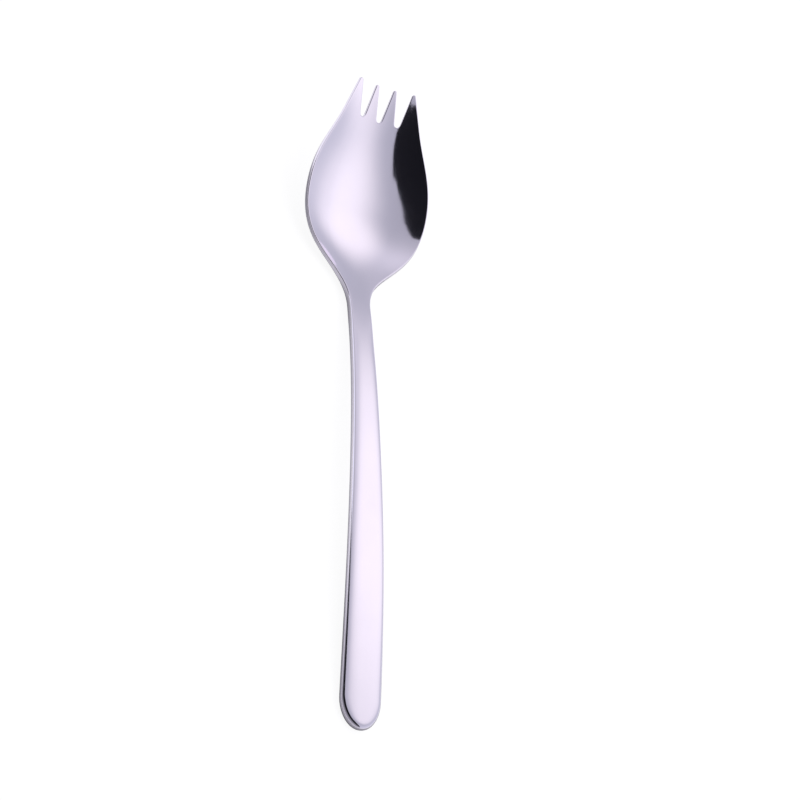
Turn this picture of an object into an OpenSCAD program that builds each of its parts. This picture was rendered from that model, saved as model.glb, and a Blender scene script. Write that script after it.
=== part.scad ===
// Spork with four tines, rolled and pressed from one blank of stainless steel, lying face up on a table.
// X runs across it, Y from the end of the handle to the tips, and Z = 0 is the table.
// Sizes are in millimetres and belong to the middle of the metal, halfway through its thickness.

/* [Overall] */
// length from the end of the handle to the tips
total_len = 206; // [190:1:225]
// length of the head, from the narrowest place of the neck to the tips
head_len = 70; // [66:1:76]

/* [Handle] */
// width near the end
handle_w = 13.3; // [11:0.1:16]
// length of the rounded end
end_round = 9.1; // [7:0.1:14]
// thickness at the end
end_t = 3.05; // [2.5:0.05:3.5]
// rounding of the long edges, as a share of the thickness
edge_round = 0.26; // [0.2:0.02:0.32]
// slope of the upper face at the long edges, from which it levels out to the middle
crown = 0.34; // [0:0.02:0.4]

/* [Neck] */
// width at the narrowest place
neck_w = 7.2; // [6:0.1:9]
// length of the neck before the narrowest place
neck_len = 16; // [10:1:24]
// thickness at the narrowest place
neck_t = 2.75; // [2.4:0.05:3.4]
// distance before the narrowest place at which the metal starts to get thinner
thin_lead = 6; // [2:1:10]
// length over which it gets as thin as the bowl
thin_len = 24; // [16:1:34]

/* [Bowl] */
// width at the widest place
bowl_w = 42; // [38:0.5:46]
// distance from the widest place to the tips
bowl_mid = 35; // [32:0.5:37]
// depth under the rim
bowl_depth = 5; // [4:0.25:6]
// distance from the deepest place to the widest place
deep_back = 0; // [-2:0.5:4]
// length of the hollow before the narrowest place of the neck
hollow_lead = 0.5; // [-2:0.5:4]
// distance past the tips at which the hollow would run out
hollow_tail = 18; // [10:1:28]
// thickness at the widest place
bowl_t = 1.3; // [1.1:0.05:1.8]
// rounding of the rim, as a share of the thickness
rim_round = 0.18; // [0.12:0.02:0.3]

/* [Tines] */
// length of a tine along Y, from the bottom of a slot to the tip
tine_len = 10; // [8:0.5:13]
// distance between neighbouring tips, and between neighbouring slots
tine_pitch = 6.25; // [5.75:0.05:6.6]
// width of a tip
tip_w = 1; // [0.8:0.05:1.4]
// thickness of a tip
tip_t = 1; // [0.8:0.05:1.2]
// radius at the bottom of a slot
slot_r = 1; // [0.7:0.05:1.3]
// width over the four tines where they leave the bowl
root_w = 26.6; // [26:0.2:29]

/* [Side view] */
// height of the edge over the table at the end of the handle
end_z = 1.43; // [1.3:0.01:2]
// height of the edge a third of the way along the handle
third_z = 5.45; // [4.5:0.05:7]
// height of the edge at the top of the arch
arch_z = 6.45; // [5.5:0.05:9]
// height of the edge where the handle runs into the neck
neck_z = 3.85; // [3.3:0.05:5.5]
// distance of that place from the narrowest place of the neck
neck_z_at = 6; // [4:0.5:10]
// height of the rim at the back of the bowl
back_z = 2.35; // [2:0.05:3.4]
// distance of that place from the narrowest place of the neck
back_z_at = 10; // [8:0.5:14]
// height of the rim at the widest place
wide_z = 8.75; // [8:0.05:11]
// height of the tips
tip_z = 21.2; // [19:0.1:25]

/* [Hidden] */

steel = [0.80, 0.78, 0.83];

// places along Y; the sloping end of a tip reaches a quarter of its thickness further out
tip_y = total_len - tip_t / 4;
root_y = tip_y - tine_len;
wide_y = tip_y - bowl_mid;
neck_y = tip_y - head_len;
hollow_y = neck_y - hollow_lead;
deep_y = wide_y - deep_back;
thin_y = neck_y - thin_lead;
fade_y = tip_y + hollow_tail;

// outline, as half widths: rounded end, taper, flare, front of the bowl, straight edge of the outer tine
handle_hw = handle_w / 2;
neck_hw = neck_w / 2;
bowl_hw = bowl_w / 2;
root_hw = root_w / 2;
tip_hw = 1.5 * tine_pitch + tip_w / 2;
taper_l = neck_y - end_round;
taper_k = (handle_hw - neck_hw) / taper_l;
flare_l = wide_y - neck_y;
front_l = root_y - wide_y;
tine_k = (root_hw - tip_hw) / tine_len;
taper = [[end_round, handle_hw],
         [end_round + taper_l / 3, handle_hw - 0.33 * taper_k * taper_l / 3],
         [neck_y - taper_l / 3, neck_hw + 0.7 * taper_k * taper_l / 3],
         [neck_y, neck_hw]];
flare = [[neck_y, neck_hw],
         [neck_y + 0.44 * flare_l, neck_hw - 0.7 * taper_k * 0.44 * flare_l],
         [wide_y - 0.58 * flare_l, bowl_hw],
         [wide_y, bowl_hw]];
front = [[wide_y, bowl_hw],
         [wide_y + 0.43 * front_l, bowl_hw],
         [root_y - 0.36 * front_l, root_hw + tine_k * 0.36 * front_l],
         [root_y, root_hw]];

// a place on a curve with four control points: [Y, half width, change of half width along Y]
function curve(p, t) =
    p[0] * pow(1 - t, 3) + p[1] * 3 * t * pow(1 - t, 2) + p[2] * 3 * t * t * (1 - t) + p[3] * pow(t, 3);
function heading(p, t) =
    (p[1] - p[0]) * pow(1 - t, 2) + (p[2] - p[1]) * 2 * t * (1 - t) + (p[3] - p[2]) * t * t;
function place(p, t) =
    let (a = curve(p, t), d = heading(p, t))
    [a[0], a[1], d[1] / d[0]];
function end_place(angle) =
    [end_round * (1 - cos(angle)), handle_hw * sin(angle),
     handle_hw * cos(angle) / (end_round * sin(angle))];
function tine_place(s) = [root_y + s, root_hw - tine_k * s, -tine_k];

// smooth line through the heights of the edge: the bends at the knots, then the height at any Y
knot_y = [0, neck_y * 0.34, neck_y * 0.68, neck_y - neck_z_at, neck_y + back_z_at, wide_y, tip_y];
knot_z = [end_z, third_z, arch_z, neck_z, back_z, wide_z, tip_z];
last_knot = len(knot_y) - 1;
function bends_up(i, prev) =
    i == last_knot ? [] :
    let (h0 = knot_y[i] - knot_y[i - 1],
         h1 = knot_y[i + 1] - knot_y[i],
         r = 6 * ((knot_z[i + 1] - knot_z[i]) / h1 - (knot_z[i] - knot_z[i - 1]) / h0),
         d = 2 * (h0 + h1) - h0 * prev[0],
         row = [h1 / d, (r - h0 * prev[1]) / d])
    concat([row], bends_up(i + 1, row));
function bends_down(rows, i, next) =
    i < 0 ? [] :
    let (m = rows[i][1] - rows[i][0] * next)
    concat(bends_down(rows, i - 1, m), [m]);
rows = bends_up(1, [0, 0]);
knot_m = concat([0], bends_down(rows, len(rows) - 1, 0), [0]);
function edge_z(y) =
    let (i = max([for (k = [0 : last_knot - 1]) if (k == 0 || y >= knot_y[k]) k]),
         h = knot_y[i + 1] - knot_y[i],
         a = (knot_y[i + 1] - y) / h,
         b = 1 - a)
    a * knot_z[i] + b * knot_z[i + 1]
    + ((pow(a, 3) - a) * knot_m[i] + (pow(b, 3) - b) * knot_m[i + 1]) * h * h / 6;

// hollow, thickness and rounding along the length
function ease(t) =
    let (u = min(1, max(0, t)))
    u * u * u * (10 - 15 * u + 6 * u * u);
function hollow(y) =
    bowl_depth * ease((y - hollow_y) / (deep_y - hollow_y)) * (1 - ease((y - deep_y) / (fade_y - deep_y)));
function thick(y) =
    end_t + (neck_t - end_t) * ease(y / neck_y)
    - (neck_t - bowl_t) * ease((y - thin_y) / thin_len)
    - (bowl_t - tip_t) * ease((y - wide_y) / (tip_y - wide_y));
function edge_r(y) = (edge_round + (rim_round - edge_round) * ease((y - thin_y) / thin_len)) * thick(y);

// middle of the metal at a place p and a distance x from the centre line, and its upward direction
function across(q) = q * q;
function middle(x, p) = [x, p[0], edge_z(p[0]) - hollow(p[0]) * (1 - across(x / p[1]))];
function upward(x, p) =
    let (e = 0.01,
         q = x / p[1],
         zx = hollow(p[0]) * 2 * q / p[1],
         ze = (edge_z(p[0] + e) - edge_z(p[0] - e)) / (2 * e),
         zh = (hollow(p[0] + e) - hollow(p[0] - e)) / (2 * e),
         zy = ze - zh * (1 - across(q)) - zx * q * p[2],
         n = [-zx, -zy, 1])
    n / norm(n);

// half thickness, less near the outline where the edge is rounded
function inset(x, p) =
    p[0] < end_round
    ? let (u = 1 - p[0] / end_round, v = x / handle_hw)
      (1 - u * u - v * v) / (2 * norm([u / end_round, v / handle_hw]))
    : (p[1] - abs(x)) / norm([1, p[2]]);
function half_t(x, p) =
    let (r = edge_r(p[0]), c = max(0, r - max(0, inset(x, p))))
    thick(p[0]) / 2 - r + sqrt(r * r - c * c);

// how far the upper face of the handle falls from the middle to a place; along the neck this fades out
function fall(x, p) =
    crown * p[1] / 3 * pow(abs(x) / p[1], 3) * (1 - ease((p[0] - neck_y + neck_len) / neck_len));

// one cross-section: upper side from left to right, then lower side back again
function ring(xs, p) =
    concat([for (x = xs) middle(x, p) + upward(x, p) * (half_t(x, p) - fall(x, p))],
           [for (i = [len(xs) - 1 : -1 : 0]) middle(xs[i], p) - upward(xs[i], p) * half_t(xs[i], p)]);

// distances from the centre line: twelve steps over the inside, three over each rounded edge
function rounded(p, room) = min(edge_r(p[0]) * norm([1, p[2]]), 0.6 * room);
function edge_steps(p, zone) = [p[1] - 0.45 * zone, p[1] - 0.12 * zone, p[1]];
root = tine_place(0);
root_in = root[1] - rounded(root, root[1]);
slot_u = tine_pitch / root_in;
function full_steps(p) =
    let (zone = rounded(p, p[1]),
         inside = p[1] - zone,
         half = concat([for (k = [1 : 3]) inside * slot_u * k / 3],
                       [for (k = [1 : 3]) inside * (slot_u + (1 - slot_u) * k / 3)],
                       edge_steps(p, zone)))
    concat([for (i = [len(half) - 1 : -1 : 0]) -half[i]], [0], half);

// solid through a row of cross-sections that all have the same number of points
module skin(rings) {
    n = len(rings[0]);
    m = n / 2;
    last = (len(rings) - 1) * n;
    sides = [for (i = [0 : len(rings) - 2], k = [0 : n - 1])
                let (a = i * n + k, b = i * n + (k + 1) % n)
                each [[a, a + n, b + n], [a, b + n, b]]];
    back = [for (k = [0 : m - 2]) each [[k, k + 1, n - 2 - k], [k, n - 2 - k, n - 1 - k]]];
    ahead = [for (f = back) [last + f[0], last + f[2], last + f[1]]];
    translate([0, -total_len / 2, 0])
        polyhedron(points = [for (r = rings) each r], faces = concat(sides, back, ahead), convexity = 6);
}

// sections along the length
neck_from = 1 - neck_len / taper_l;
neck_to = 0.36;
handle_places = concat([for (a = [5, 15, 27, 40, 54, 68, 80]) end_place(a)],
                       [for (i = [0 : 22]) place(taper, neck_from * i / 22)]);
neck_places = concat([for (i = [0 : 4]) place(taper, neck_from + (1 - neck_from) * i / 4)],
                     [for (i = [1 : 7]) place(flare, neck_to * i / 7)]);
bowl_places = concat([for (i = [0 : 12]) place(flare, neck_to + (1 - neck_to) * i / 12)],
                     [for (i = [1 : 12]) place(front, i / 12)]);

module handle() {
    color(steel) skin([for (p = handle_places) ring(full_steps(p), p)]);
}

module neck() {
    color(steel) skin([for (p = neck_places) ring(full_steps(p), p)]);
}

module bowl() {
    color(steel) skin([for (p = bowl_places) ring(full_steps(p), p)]);
}

// a slot: half round at the bottom, then widening to the tips
tip_gap = (tine_pitch - tip_w) / 2;
function slot_hw(s) =
    s < slot_r
    ? sqrt(max(0, slot_r * slot_r - pow(slot_r - s, 2)))
    : slot_r + (tip_gap - slot_r) * (s - slot_r) / (tine_len - slot_r);

// sections of a tine, each with its distance from the bottom of the slot and its share of the width
tip_r = tip_w / 2;
tine_cuts = concat([for (a = [0, 25, 50, 70, 90]) [slot_r * (1 - cos(a)), 1]],
                   [for (i = [1 : 5]) [slot_r + (tine_len - tip_r - slot_r) * i / 5, 1]],
                   [for (a = [30, 55]) [tine_len - tip_r + tip_r * sin(a), cos(a)]],
                   [[tine_len, 0.25]]);
function narrow(xs, share) =
    let (c = (xs[0] + xs[len(xs) - 1]) / 2)
    [for (x = xs) c + (x - c) * share];
function inner_steps(s) =
    let (a = slot_hw(s))
    [for (k = [0 : 3]) a + (tine_pitch - 2 * a) * k / 3];
function outer_steps(s) =
    let (p = tine_place(s),
         from = tine_pitch + slot_hw(s),
         zone = rounded(p, p[1] - from))
    concat([for (k = [0 : 3]) from + (p[1] - zone - from) * k / 3], edge_steps(p, zone));
function mirrored(xs) = [for (i = [len(xs) - 1 : -1 : 0]) -xs[i]];

module tine_left_outer() {
    color(steel) skin([for (c = tine_cuts) ring(narrow(mirrored(outer_steps(c[0])), c[1]), tine_place(c[0]))]);
}

module tine_left_inner() {
    color(steel) skin([for (c = tine_cuts) ring(narrow(mirrored(inner_steps(c[0])), c[1]), tine_place(c[0]))]);
}

module tine_right_inner() {
    color(steel) skin([for (c = tine_cuts) ring(narrow(inner_steps(c[0]), c[1]), tine_place(c[0]))]);
}

module tine_right_outer() {
    color(steel) skin([for (c = tine_cuts) ring(narrow(outer_steps(c[0]), c[1]), tine_place(c[0]))]);
}

handle();
neck();
bowl();
tine_left_outer();
tine_left_inner();
tine_right_inner();
tine_right_outer();
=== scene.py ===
# A spork of polished stainless steel lies face up on a pale floor, in the soft light of a small tent.
# X runs across it, Y from the end of the handle to the tips, and Z = 0 is the floor.
import math

import bpy
import numpy as np
from mathutils import Matrix, Vector


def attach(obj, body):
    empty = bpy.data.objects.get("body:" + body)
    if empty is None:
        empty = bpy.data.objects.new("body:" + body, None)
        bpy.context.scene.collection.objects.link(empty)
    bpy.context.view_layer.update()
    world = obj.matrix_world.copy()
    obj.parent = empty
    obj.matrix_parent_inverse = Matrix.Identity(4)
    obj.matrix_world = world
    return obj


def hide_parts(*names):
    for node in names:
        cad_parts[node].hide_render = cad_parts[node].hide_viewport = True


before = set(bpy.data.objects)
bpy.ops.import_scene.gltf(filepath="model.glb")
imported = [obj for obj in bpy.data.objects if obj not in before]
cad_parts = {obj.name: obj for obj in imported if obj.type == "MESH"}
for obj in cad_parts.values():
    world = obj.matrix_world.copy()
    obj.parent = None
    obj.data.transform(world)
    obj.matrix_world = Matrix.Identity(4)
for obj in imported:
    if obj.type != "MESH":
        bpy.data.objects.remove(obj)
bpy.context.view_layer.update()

# The spork is one piece of stainless steel, a blank stamped from sheet with slots cut between its tines.
# Its outline has a rounded end, a taper to the neck, a flare to the widest place of the bowl, and a front
# that narrows into the straight edges of the outer tines. Sizes are in millimetres along Y from the end.
mm = 0.001
total_len = 206
head_len = 70
handle_w = 13.3
end_round = 9.1
neck_w = 7.2
bowl_w = 42
bowl_mid = 35
root_w = 26.6
tine_len = 10
tine_pitch = 6.25
tip_w = 1
tip_t = 1
slot_r = 1
taper_leave = 0.33
taper_arrive = 0.7
flare_lead = 0.44
flare_arrive = 0.58
front_lead = 0.43
front_arrive = 0.36

tip_y = total_len - tip_t / 4
root_y = tip_y - tine_len
wide_y = tip_y - bowl_mid
neck_y = tip_y - head_len
tip_hw = 1.5 * tine_pitch + tip_w / 2
taper_len = neck_y - end_round
taper_slope = (handle_w - neck_w) / 2 / taper_len
flare_len = wide_y - neck_y
front_len = root_y - wide_y
tine_slope = (root_w / 2 - tip_hw) / tine_len
outline_points = 400


def curve(start, lead, arrive, end):
    """Points on a smooth curve that leaves start towards lead and comes to end from arrive."""
    t = np.linspace(0, 1, outline_points)[:, None]
    shares = ((1 - t)**3, 3 * t * (1 - t)**2, 3 * t**2 * (1 - t), t**3)
    return sum(s * np.array(p, float) for s, p in zip(shares, (start, lead, arrive, end)))


def side_outline():
    """The right-hand side of the blank, as rows of Y and half width."""
    angle = np.linspace(0, math.pi / 2, outline_points)
    rounded_end = np.stack([end_round * (1 - np.cos(angle)), handle_w / 2 * np.sin(angle)], -1)
    third = taper_len / 3
    neck_slope = taper_arrive * taper_slope
    taper = curve((end_round, handle_w / 2),
                  (end_round + third, handle_w / 2 - taper_leave * taper_slope * third),
                  (neck_y - third, neck_w / 2 + neck_slope * third),
                  (neck_y, neck_w / 2))
    lead = flare_lead * flare_len
    flare = curve((neck_y, neck_w / 2),
                  (neck_y + lead, neck_w / 2 - neck_slope * lead),
                  (wide_y - flare_arrive * flare_len, bowl_w / 2),
                  (wide_y, bowl_w / 2))
    arrive = front_arrive * front_len
    front = curve((wide_y, bowl_w / 2),
                  (wide_y + front_lead * front_len, bowl_w / 2),
                  (root_y - arrive, root_w / 2 + tine_slope * arrive),
                  (root_y, root_w / 2))
    return np.concatenate([rounded_end, taper[1:], flare[1:], front[1:], [[tip_y, tip_hw]]])


outline_y, outline_hw = side_outline().T


def half_width(y):
    return np.interp(y, outline_y, outline_hw)


# The press bends the blank into a low arch along the handle and a rise to the tips, and hollows the bowl.
# The metal stays thick in the neck and is drawn thin in the bowl, and the upper face of the handle is a
# little crowned by the polishing. Heights are those of the middle of the metal.
end_t = 3.05
neck_t = 2.75
bowl_t = 1.3
thin_from = neck_y - 6
thin_to = neck_y + 18
bowl_depth = 5
hollow_y = neck_y - 0.5
deep_y = wide_y
fade_y = tip_y + 18
end_crown = 0.26
crown = 0.4
crown_from = neck_y - 16
crown_to = neck_y
third_y = 0.34 * neck_y
arch_y = 0.68 * neck_y
bend_y = neck_y - 6
back_y = neck_y + 10
end_z = 1.44
third_z = 5.45
arch_z = 6.45
bend_z = 3.85
back_z = 2.35
wide_z = 8.75
tip_z = 21.2
rim_places = [(0, end_z), (third_y, third_z), (arch_y, arch_z), (bend_y, bend_z),
              (back_y, back_z), (wide_y, wide_z), (tip_y, tip_z)]
narrowest = 0.5


def smooth_line(places):
    """Y, height and bend of a smooth line at each of the places that it runs through."""
    y, z = np.array(places, float).T
    step = np.diff(y)
    known = np.eye(len(y))
    wanted = np.zeros(len(y))
    for i in range(1, len(y) - 1):
        known[i, i - 1:i + 2] = step[i - 1], 2 * (step[i - 1] + step[i]), step[i]
        wanted[i] = 6 * ((z[i + 1] - z[i]) / step[i] - (z[i] - z[i - 1]) / step[i - 1])
    return y, z, np.linalg.solve(known, wanted)


rim_y, rim_z, rim_bend = smooth_line(rim_places)


def rim_height(y):
    i = np.clip(np.searchsorted(rim_y, y, side="right") - 1, 0, len(rim_y) - 2)
    step = rim_y[i + 1] - rim_y[i]
    a = (rim_y[i + 1] - y) / step
    b = 1 - a
    bow = (a**3 - a) * rim_bend[i] + (b**3 - b) * rim_bend[i + 1]
    return a * rim_z[i] + b * rim_z[i + 1] + bow * step**2 / 6


def ease(t):
    u = np.clip(t, 0, 1)
    return u**3 * (10 - 15 * u + 6 * u**2)


def hollow(y):
    sinks = ease((y - hollow_y) / (deep_y - hollow_y))
    runs_out = ease((y - deep_y) / (fade_y - deep_y))
    return bowl_depth * sinks * (1 - runs_out)


def thickness(y):
    return (end_t + (neck_t - end_t) * ease(y / neck_y)
            - (neck_t - bowl_t) * ease((y - thin_from) / (thin_to - thin_from))
            - (bowl_t - tip_t) * ease((y - wide_y) / (tip_y - wide_y)))


def middle(x, y):
    """Height of the middle of the metal."""
    share = np.abs(x) / np.maximum(half_width(y), narrowest)
    return rim_height(y) - hollow(y) * (1 - share**2)


def upward(x, y):
    """Direction out of the hollow, square to the middle of the metal."""
    step = 0.02
    slope_x = (middle(x + step, y) - middle(x - step, y)) / (2 * step)
    slope_y = (middle(x, y + step) - middle(x, y - step)) / (2 * step)
    out = np.stack([-slope_x, -slope_y, np.ones_like(slope_x)], -1)
    return out / np.linalg.norm(out, axis=-1, keepdims=True)


# Tumbling rounds every edge of the blank. The mesh follows that: its outline is one loop round the end, the
# sides, the tips and the slots, rings of faces step in from the loop over the rounded edge, and rows of
# faces fill the space inside, one block for the body, one for each tine and one behind each slot.
end_share = 0.42
edge_share = 0.26
rim_share = 0.18
slot_edge = 0.22
ring_turns = np.radians([0, 22.5, 45, 67.5, 90])
support = 1.7
lip_len = 1.5
end_steps = 8
handle_steps = 43
flare_steps = 27
front_steps = 19
lip_steps = 4
tine_steps = 8
cap_steps = 3
tine_columns = 4
slot_columns = 4
corner = math.radians(45)
lean = math.atan((tine_pitch / 2 - tip_w / 2 - slot_r) / (tine_len - slot_r))
slot_y = root_y + slot_r * (1 - math.sin(lean))
cap_y = tip_y - tip_w / 2
front_y = root_y - lip_len

round_turns = np.linspace(corner, math.pi / 2, end_steps + 1)
body_rows = np.concatenate([end_round * (1 - np.cos(round_turns))[:-1],
                            np.linspace(end_round, neck_y, handle_steps + 1)[:-1],
                            np.linspace(neck_y, wide_y, flare_steps + 1)[:-1],
                            np.linspace(wide_y, front_y, front_steps + 1)])
lip_rows = np.linspace(front_y, slot_y, lip_steps + 1)[1:]
tine_rows = np.linspace(slot_y, cap_y, tine_steps + 1)[1:]
cap_turns = np.linspace(math.pi / 2, corner, cap_steps + 1)[1:]
tip_turns = np.linspace(corner, -corner, tine_columns + 1)[1:]
all_columns = 4 * tine_columns + 3 * slot_columns

loop = []
loop_r = []


def trace(x, y, radius):
    """Adds points to the outline loop and gives their numbers in it."""
    first = len(loop)
    x, y, radius = np.broadcast_arrays(np.asarray(x, float), y, radius)
    loop.extend(zip(x, y))
    loop_r.extend(radius)
    return list(range(first, len(loop)))


def side_radius(y):
    """Rounding of the outer edge: large at the end of the handle, and at a tip the same as in a slot."""
    share = edge_share + (end_share - edge_share) * (1 - ease(y / (neck_y / 2)))
    share += (rim_share - edge_share) * ease((y - thin_from) / (thin_to - thin_from))
    return share * thickness(y) + (slot_edge - rim_share * tip_t) * np.clip((y - root_y) / tine_len, 0, 1)


def is_outer(tine, side):
    return tine == (0 if side < 0 else 3)


def tine_side(tine, side, y):
    """X of the left (-1) or right (+1) edge of a tine; the tines are numbered 0 to 3 from the left."""
    if is_outer(tine, side):
        return side * half_width(y)
    slot_hw = slot_r * math.cos(lean) + (y - slot_y) * math.tan(lean)
    return (tine - 1.5 + 0.5 * side) * tine_pitch - side * slot_hw


def tine_radius(tine, side, y):
    return side_radius(y) if is_outer(tine, side) else np.full_like(y, slot_edge)


def cap_points(tine, turns):
    """Points round the tip of a tine; the turns are measured from +Y to the right."""
    left, right = tine_side(tine, -1, cap_y), tine_side(tine, 1, cap_y)
    return (left + right) / 2 + (right - left) / 2 * np.sin(turns), cap_y + tip_w / 2 * np.cos(turns)


end_turns = np.linspace(-corner, corner, all_columns + 1)
end_y = end_round * (1 - np.cos(end_turns))
end_row = trace(handle_w / 2 * np.sin(end_turns), end_y, side_radius(end_y))
right_side = end_row[-1:] + trace(half_width(body_rows[1:]), body_rows[1:], side_radius(body_rows[1:]))
right_lip = trace(half_width(lip_rows), lip_rows, side_radius(lip_rows))
rising, tips, falling, slots = {}, {}, {}, {}
base = right_lip[-1:]
for tine in (3, 2, 1, 0):
    rising[tine] = base + trace(tine_side(tine, 1, tine_rows), tine_rows, tine_radius(tine, 1, tine_rows))
    rising[tine] += trace(*cap_points(tine, cap_turns), slot_edge)
    tips[tine] = rising[tine][-1:] + trace(*cap_points(tine, tip_turns), slot_edge)
    down_rows = np.append(tine_rows[::-1], slot_y)
    falling[tine] = tips[tine][-1:] + trace(*cap_points(tine, -cap_turns[-2::-1]), slot_edge)
    falling[tine] += trace(tine_side(tine, -1, down_rows), down_rows, tine_radius(tine, -1, down_rows))
    base = falling[tine][-1:]
    if tine > 0:
        turns = np.linspace(math.pi / 2 - lean, lean - math.pi / 2, slot_columns + 1)[1:]
        slots[tine] = base + trace((tine - 2) * tine_pitch + slot_r * np.sin(turns),
                                   root_y + slot_r * (1 - np.cos(turns)), slot_edge)
        base = slots[tine][-1:]
left_rows = np.append(front_y, lip_rows[:-1])[::-1]
left_lip = base + trace(-half_width(left_rows), left_rows, side_radius(left_rows))
left_rows = body_rows[-2:0:-1]
left_side = left_lip[-1:] + trace(-half_width(left_rows), left_rows, side_radius(left_rows)) + end_row[:1]

plan = []
above = []
below = []


def crown_drop(x, y):
    """How far the upper face of the handle curves down towards its edges."""
    side = half_width(y)
    share = np.clip(np.abs(x) / np.maximum(side, narrowest), 0, 1)
    slope = end_crown + (crown - end_crown) * ease(y / crown_from)
    return slope * side * share**3 / 3 * (1 - ease((y - crown_from) / (crown_to - crown_from)))


def add_points(x, y, less=0):
    """Adds points of the plan, with what the rounded edge takes off their half thickness."""
    first = len(plan)
    x, y = np.asarray(x, float), np.asarray(y, float)
    plan.extend(zip(x, y))
    above.extend(thickness(y) / 2 - less - crown_drop(x, y))
    below.extend(thickness(y) / 2 - less)
    return list(range(first, len(plan)))


loop = np.array(loop)
loop_r = np.array(loop_r)
along = np.roll(loop, -1, 0) - np.roll(loop, 1, 0)
inward = np.stack([-along[:, 1], along[:, 0]], -1) / np.linalg.norm(along, axis=1)[:, None]
rings = []
for turn in ring_turns:
    x, y = (loop + inward * (loop_r * (1 - math.cos(turn)))[:, None]).T
    rings.append(add_points(x, y, loop_r * (1 - math.sin(turn))))
rings.append(add_points(*(loop + inward * (loop_r * support)[:, None]).T))
inner = rings[-1]

faces = []
for outer_ring, inner_ring in zip(rings, rings[1:]):
    for i in range(len(loop)):
        faces.append((outer_ring[i - 1], outer_ring[i], inner_ring[i], inner_ring[i - 1]))


def row_between(start, end, shares):
    """A row of points from one point to another; shares say where the points between them lie."""
    (x0, y0), (x1, y1) = plan[start], plan[end]
    return [start] + add_points(x0 + (x1 - x0) * shares, y0 + (y1 - y0) * shares) + [end]


def fill(rows):
    for low, high in zip(rows, rows[1:]):
        for i in range(len(low) - 1):
            faces.append((low[i], low[i + 1], high[i + 1], high[i]))


left_inner = [inner[i] for i in left_side[::-1]]
right_inner = [inner[i] for i in right_side]
reach = plan[right_inner[-1]][0]
slot_reach = (slot_r + slot_edge * support) * math.cos(lean)
stops = [-reach]
for slot in (-1, 0, 1):
    stops += [slot * tine_pitch - slot_reach, slot * tine_pitch + slot_reach]
stops.append(reach)
columns = np.concatenate([np.linspace(a, b, n + 1)[:-1] for a, b, n in
                          zip(stops, stops[1:], [tine_columns, slot_columns] * 3 + [tine_columns])])
shares = (columns[1:] + reach) / (2 * reach)
body = [[inner[i] for i in end_row]]
body += [row_between(a, b, shares) for a, b in zip(left_inner[1:], right_inner[1:])]
fill(body)

group = tine_columns + slot_columns
even_tine = np.arange(1, tine_columns) / tine_columns
even_slot = np.arange(1, slot_columns) / slot_columns
even_lip = np.arange(1, len(lip_rows)) / len(lip_rows)
lip_left = {0: [body[-1][0]] + [inner[i] for i in left_lip[-2::-1]]}
lip_right = {3: [body[-1][-1]] + [inner[i] for i in right_lip]}
for tine in (1, 2, 3):
    first = tine * group
    lip_left[tine] = row_between(body[-1][first], inner[slots[tine][0]], even_lip)
    lip_right[tine - 1] = row_between(body[-1][first - slot_columns], inner[slots[tine][-1]], even_lip)
    behind = [body[-1][first - slot_columns:first + 1]]
    between = zip(lip_right[tine - 1][1:-1], lip_left[tine][1:-1])
    behind += [row_between(a, b, even_slot) for a, b in between]
    behind.append([inner[i] for i in slots[tine][::-1]])
    fill(behind)
for tine in range(4):
    left = lip_left[tine] + [inner[i] for i in falling[tine][-2::-1]]
    right = lip_right[tine] + [inner[i] for i in rising[tine][1:]]
    block = [body[-1][tine * group:tine * group + tine_columns + 1]]
    block += [row_between(a, b, even_tine) for a, b in zip(left[1:-1], right[1:-1])]
    block.append([inner[i] for i in tips[tine][::-1]])
    fill(block)

px, py = np.array(plan).T
out = upward(px, py)
mid = np.stack([px, py - total_len / 2, middle(px, py)], -1)
n = len(plan)
walls = [(rings[0][i], rings[0][i - 1], rings[0][i - 1] + n, rings[0][i] + n) for i in range(len(loop))]
under = [tuple(i + n for i in face[::-1]) for face in faces]
upper_points = mid + out * np.array(above)[:, None]
lower_points = mid - out * np.array(below)[:, None]
mesh = bpy.data.meshes.new("spork")
mesh.from_pydata(np.concatenate([upper_points, lower_points]) * mm, [], faces + under + walls)
mesh.polygons.foreach_set("use_smooth", [True] * len(mesh.polygons))
edge_mark = mesh.attributes.new("edge", "FLOAT", "POINT")
mark = np.zeros(n)
for ring, turn in zip(rings, ring_turns):
    mark[ring] = math.cos(turn)
edge_mark.data.foreach_set("value", np.tile(mark, 2).astype(np.float32))
spork = bpy.data.objects.new("spork", mesh)
bpy.context.scene.collection.objects.link(spork)
rounding = spork.modifiers.new("rounding", "SUBSURF")
rounding.levels = rounding.render_levels = 1
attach(spork, "root")
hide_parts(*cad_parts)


# The steel is buffed to a mirror and has a faint lilac cast. Fine buffing lines run along the spork, thin
# hairlines cross them, handling leaves cloudy places, and the tumbled edges are a little duller.
def place(tree, kind, inputs, **settings):
    """Adds a node; an input takes a value or another node's output."""
    made = tree.nodes.new(kind)
    for name, value in settings.items():
        setattr(made, name, value)
    for name, value in inputs.items():
        if isinstance(value, bpy.types.NodeSocket):
            tree.links.new(value, made.inputs[name])
        else:
            made.inputs[name].default_value = value
    return made


def combine(tree, operation, a, b):
    """One step of arithmetic on two values."""
    return place(tree, "ShaderNodeMath", {0: a, 1: b}, operation=operation).outputs["Value"]


def combine_vectors(tree, operation, a, b):
    """One step of arithmetic on two vectors or colours; a single value counts for all three parts."""
    return place(tree, "ShaderNodeVectorMath", {0: a, 1: b}, operation=operation).outputs["Vector"]


def ramp(tree, value, low, high, to_low, to_high):
    made = place(tree, "ShaderNodeMapRange", {"Value": value, "From Min": low, "From Max": high,
                                              "To Min": to_low, "To Max": to_high})
    return made.outputs["Result"]


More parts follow.
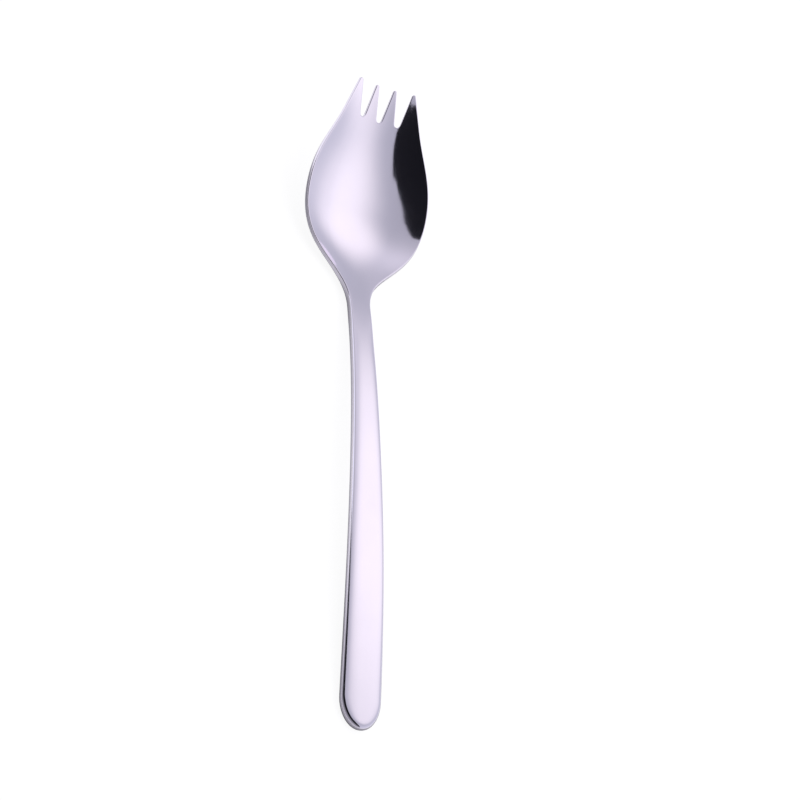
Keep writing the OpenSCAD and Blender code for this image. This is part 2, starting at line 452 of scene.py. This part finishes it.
steel = bpy.data.materials.new("polished_steel")
steel.use_nodes = True
tree = steel.node_tree
shader = tree.nodes["Principled BSDF"]
on_steel = place(tree, "ShaderNodeTexCoord", {}).outputs["Object"]


def noise(waves, detail):
    """Noise over the steel, with so many waves per metre along X, Y and Z."""
    stretched = place(tree, "ShaderNodeMapping", {"Vector": on_steel, "Scale": waves})
    made = place(tree, "ShaderNodeTexNoise", {"Vector": stretched.outputs["Vector"], "Scale": 1,
                                              "Detail": detail})
    return made.outputs["Fac"]


cool_steel = (0.805, 0.768, 0.882, 1)
warm_steel = (0.832, 0.792, 0.906, 1)
least_dull = 0.045
cloudy_dull = 0.075
buffing_dull = 0.02
edge_dull = 0.03
hairline_depth = 0.4
grain_strength = 0.04
grain_height = 0.02 * mm
cloud = noise((90, 60, 90), 3)
buffing = noise((5200, 90, 5200), 2)
hairline = noise((900, 14000, 900), 1)
edge = place(tree, "ShaderNodeAttribute", {}, attribute_name="edge").outputs["Fac"]
tint = place(tree, "ShaderNodeMix", {"Factor": ramp(tree, cloud, 0.35, 0.65, 0, 1)}, data_type="RGBA")
tint.inputs["A"].default_value = cool_steel
tint.inputs["B"].default_value = warm_steel
dull = ramp(tree, cloud, 0.3, 0.7, least_dull, cloudy_dull)
dull = combine(tree, "ADD", dull, ramp(tree, buffing, 0.3, 0.7, 0, buffing_dull))
dull = combine(tree, "ADD", dull, ramp(tree, edge, 0, 1, 0, edge_dull))
lines = combine(tree, "ADD", buffing, ramp(tree, hairline, 0.62, 0.7, 0, -hairline_depth))
grain = place(tree, "ShaderNodeBump", {"Strength": grain_strength, "Distance": grain_height,
                                       "Height": lines})
tree.links.new(tint.outputs["Result"], shader.inputs["Base Color"])
tree.links.new(dull, shader.inputs["Roughness"])
tree.links.new(grain.outputs["Normal"], shader.inputs["Normal"])
shader.inputs["Metallic"].default_value = 1
mesh.materials.append(steel)


# The floor is a sheet of matt white paper. It looks evenly white from the camera and keeps the soft shadow.
# The steel mirrors it with painted shade: darker close to the spork, and in two soft patches of painted
# shade, left of the bowl and left of the end of the handle.
def flat_sheet(name, corners, material):
    sheet = bpy.data.meshes.new(name)
    sheet.from_pydata(corners, [], [tuple(range(len(corners)))])
    sheet.materials.append(material)
    made = bpy.data.objects.new(name, sheet)
    bpy.context.scene.collection.objects.link(made)
    return made


glow_group = bpy.data.node_groups.new("soft_glow", "ShaderNodeTree")
glow_group.interface.new_socket("Vector", in_out="INPUT", socket_type="NodeSocketVector")
glow_group.interface.new_socket("Edge", in_out="INPUT", socket_type="NodeSocketFloat")
glow_group.interface.new_socket("Glow", in_out="OUTPUT", socket_type="NodeSocketFloat")
given = place(glow_group, "NodeGroupInput", {})
far = place(glow_group, "ShaderNodeVectorMath", {0: given.outputs["Vector"]}, operation="LENGTH")
fade = combine(glow_group, "POWER", far.outputs["Value"], given.outputs["Edge"])
minus = combine(glow_group, "MULTIPLY", fade, -1)
shine = place(glow_group, "ShaderNodeMath", {0: minus}, operation="EXPONENT")
place(glow_group, "NodeGroupOutput", {"Glow": shine.outputs["Value"]})


def soft_spot(tree, vector, centre, size, edge):
    """1 in the centre of a spot, fading to nothing at about its size; a high edge fades late and fast."""
    offset = combine_vectors(tree, "SUBTRACT", vector, centre)
    scaled = combine_vectors(tree, "DIVIDE", offset, size)
    spot = place(tree, "ShaderNodeGroup", {"Vector": scaled, "Edge": edge}, node_tree=glow_group)
    return spot.outputs["Glow"]


paper_colour = (0.3, 0.3, 0.3, 1)
paper_glow = 0.9
floor_half = 4
# The painted shade in the steel falls away from this direction, as a shadow of the soft box would.
light_from = (0.62, 0.23, 0.75)
shade_reach = 0.06
shade_power = 3
spot_edge = 4
painted_shade_spots = [(Vector((-80, 58, 0)) * mm, 0.074, 0.85), (Vector((-20, -95, 0)) * mm, 0.04, 0.7)]
paper = bpy.data.materials.new("white_paper")
paper.use_nodes = True
tree = paper.node_tree
tree.nodes.clear()
on_floor = place(tree, "ShaderNodeTexCoord", {}).outputs["Object"]
# Painted shade: this occlusion, leaned towards the soft box, dims the glow that the steel mirrors.
open_sky = place(tree, "ShaderNodeAmbientOcclusion", {"Distance": shade_reach, "Normal": light_from},
                 samples=8)
rays = place(tree, "ShaderNodeLightPath", {}).outputs
in_steel = combine(tree, "ADD", rays["Is Glossy Ray"], rays["Is Transmission Ray"])
in_steel = combine(tree, "MULTIPLY", in_steel, combine(tree, "POWER", open_sky.outputs["AO"], shade_power))
# Painted shade: two soft dark patches dim the glow that the steel mirrors.
for centre, size, depth in painted_shade_spots:
    painted_shade = soft_spot(tree, on_floor, centre, (size, size, size), spot_edge)
    in_steel = combine(tree, "MULTIPLY", in_steel, ramp(tree, painted_shade, 0, 1, 1, 1 - depth))
seen = combine(tree, "ADD", in_steel, rays["Is Camera Ray"])
matt = place(tree, "ShaderNodeBsdfDiffuse", {"Color": paper_colour})
light = place(tree, "ShaderNodeEmission", {"Color": combine(tree, "MULTIPLY", seen, paper_glow)})
both = place(tree, "ShaderNodeAddShader", {0: matt.outputs["BSDF"], 1: light.outputs["Emission"]})
place(tree, "ShaderNodeOutputMaterial", {"Surface": both.outputs["Shader"]})
flat_sheet("floor", [(-floor_half, -floor_half, 0), (floor_half, -floor_half, 0),
                     (floor_half, floor_half, 0), (-floor_half, floor_half, 0)], paper)


# A small tent of pale cloth stands round the spork. Its walls are brighter to the right, behind the handle
# and low down, and two lamps shine through the cloth: one high over the tips and one low on the left.
def toward(azimuth, elevation):
    """Unit direction, with the azimuth in degrees from +X towards +Y."""
    a, e = math.radians(azimuth), math.radians(elevation)
    return Vector((math.cos(a) * math.cos(e), math.sin(a) * math.cos(e), math.sin(e)))


wall_colour = (0.564, 0.566, 0.632)
wall_slope = (0.282, -0.161, -0.189)
lamp_edge = 2
lamps = [((0.334, 0.315, 0.328), toward(95.6, 55.8), 0.4), ((0.8, 0.8, 0.85), toward(150, 2), 0.5)]
tent = bpy.data.worlds.new("tent")
bpy.context.scene.world = tent
tent.use_nodes = True
tree = tent.node_tree
direction = place(tree, "ShaderNodeTexCoord", {}).outputs["Generated"]
slope = place(tree, "ShaderNodeVectorMath", {0: direction, 1: wall_slope}, operation="DOT_PRODUCT")
level = combine(tree, "ADD", slope.outputs["Value"], 1)
cloth_light = combine_vectors(tree, "MULTIPLY", wall_colour, level)
for colour, lamp_at, width in lamps:
    glow = soft_spot(tree, direction, lamp_at, (width, width, width), lamp_edge)
    cloth_light = combine_vectors(tree, "ADD", cloth_light, combine_vectors(tree, "MULTIPLY", colour, glow))
tree.links.new(cloth_light, tree.nodes["Background"].inputs["Color"])

# A soft box hangs close over the right-hand side and makes the long pale reflections. It is a sheet of
# cloth lit from behind, bright in the middle and fading to its edges.
box_colour = (0.63, 0.58, 0.539)
box_aim = Vector((0, 30, 10)) * mm
box_side = toward(25.9, 51.6)
box_distance = 0.463
box_w = 0.204
box_h = 0.216
box_edge = 3.5
box_reach = 1.75
cloth = bpy.data.materials.new("soft_box_cloth")
cloth.use_nodes = True
tree = cloth.node_tree
tree.nodes.clear()
on_cloth = place(tree, "ShaderNodeTexCoord", {}).outputs["Object"]
glow = soft_spot(tree, on_cloth, (0, 0, 0), (box_w, box_h, 1), box_edge)
lit = place(tree, "ShaderNodeEmission", {"Color": combine_vectors(tree, "MULTIPLY", box_colour, glow)})
clear = place(tree, "ShaderNodeBsdfTransparent", {})
both = place(tree, "ShaderNodeAddShader", {0: lit.outputs["Emission"], 1: clear.outputs["BSDF"]})
place(tree, "ShaderNodeOutputMaterial", {"Surface": both.outputs["Shader"]})
w, h = box_reach * box_w, box_reach * box_h
soft_box = flat_sheet("soft_box", [(-w, -h, 0), (w, -h, 0), (w, h, 0), (-w, h, 0)], cloth)
box_across = Vector((0, 0, 1)).cross(-box_side).normalized()
box_turn = Matrix((box_across, (-box_side).cross(box_across), -box_side)).transposed().to_4x4()
soft_box.matrix_world = Matrix.Translation(box_aim + box_distance * box_side) @ box_turn
soft_box.visible_camera = False

# A black velvet curtain hangs behind the camera, higher at its sides than in the middle. It makes the dark
# reflection on the right wall of the bowl and the dark lines along the edges. Its foot glows grey with
# painted light, for the light that the floor throws up on it.
velvet_colour = (0.02, 0.02, 0.023, 1)
painted_bounce_colour = (0.475, 0.465, 0.5)
foot_rise = 1.1
curtain_side = toward(-137, 0)
curtain_from = Vector((0, 62, 0)) * mm
curtain_far = 1
curtain_foot = 0.001
curtain_top = math.tan(math.radians(82.8))
curtain_edge = [(2.25, 11), (1.25, curtain_top), (-0.7, curtain_top), (-2.7, 10.6)]
velvet = bpy.data.materials.new("black_velvet")
velvet.use_nodes = True
tree = velvet.node_tree
shader = tree.nodes["Principled BSDF"]
on_velvet = place(tree, "ShaderNodeTexCoord", {}).outputs["Object"]
height = place(tree, "ShaderNodeSeparateXYZ", {"Vector": on_velvet}).outputs["Z"]
shader.inputs["Base Color"].default_value = velvet_colour
shader.inputs["Roughness"].default_value = 1
shader.inputs["Specular IOR Level"].default_value = 0
shader.inputs["Emission Strength"].default_value = 1
# Painted light: the foot of the curtain glows grey and fades out upwards, standing for light from the
# floor.
painted_bounce_light = combine_vectors(tree, "MULTIPLY", painted_bounce_colour, ramp(tree, height, 0, foot_rise, 1, 0))
tree.links.new(painted_bounce_light, shader.inputs["Emission Color"])
corners = [(curtain_edge[-1][0], 0, curtain_foot), (curtain_edge[0][0], 0, curtain_foot)]
corners += [(x, 0, z) for x, z in curtain_edge]
curtain = flat_sheet("curtain", corners, velvet)
curtain_across = Vector((0, 0, 1)).cross(curtain_side)
curtain_turn = Matrix((curtain_across, curtain_side, Vector((0, 0, 1)))).transposed().to_4x4()
curtain.matrix_world = Matrix.Translation(curtain_from + curtain_far * curtain_side) @ curtain_turn
curtain.visible_camera = False

# The camera stands to the left of the handle's end, about as high above the floor as it is far away.
# It looks down at the middle of the spork through a long lens, so that near and far keep a like scale.
camera_aim = Vector((12.685, 3.872, 5.224)) * mm
camera_side = toward(226.164, 47.606)
camera_distance = 0.8896
camera_roll = -0.01507
camera_up = (Vector((0, 1, 0)) - camera_side * camera_side.y).normalized()
camera_turn = Matrix((camera_up.cross(camera_side), camera_up, camera_side)).transposed().to_4x4()
camera = bpy.data.objects.new("camera", bpy.data.cameras.new("camera"))
bpy.context.scene.collection.objects.link(camera)
camera.data.lens = 135
camera.data.sensor_width = 36
camera.matrix_world = (Matrix.Translation(camera_aim + camera_distance * camera_side) @ camera_turn
                       @ Matrix.Rotation(camera_roll, 4, "Z"))
bpy.context.scene.camera = camera
bpy.context.scene.view_settings.view_transform = "Standard"
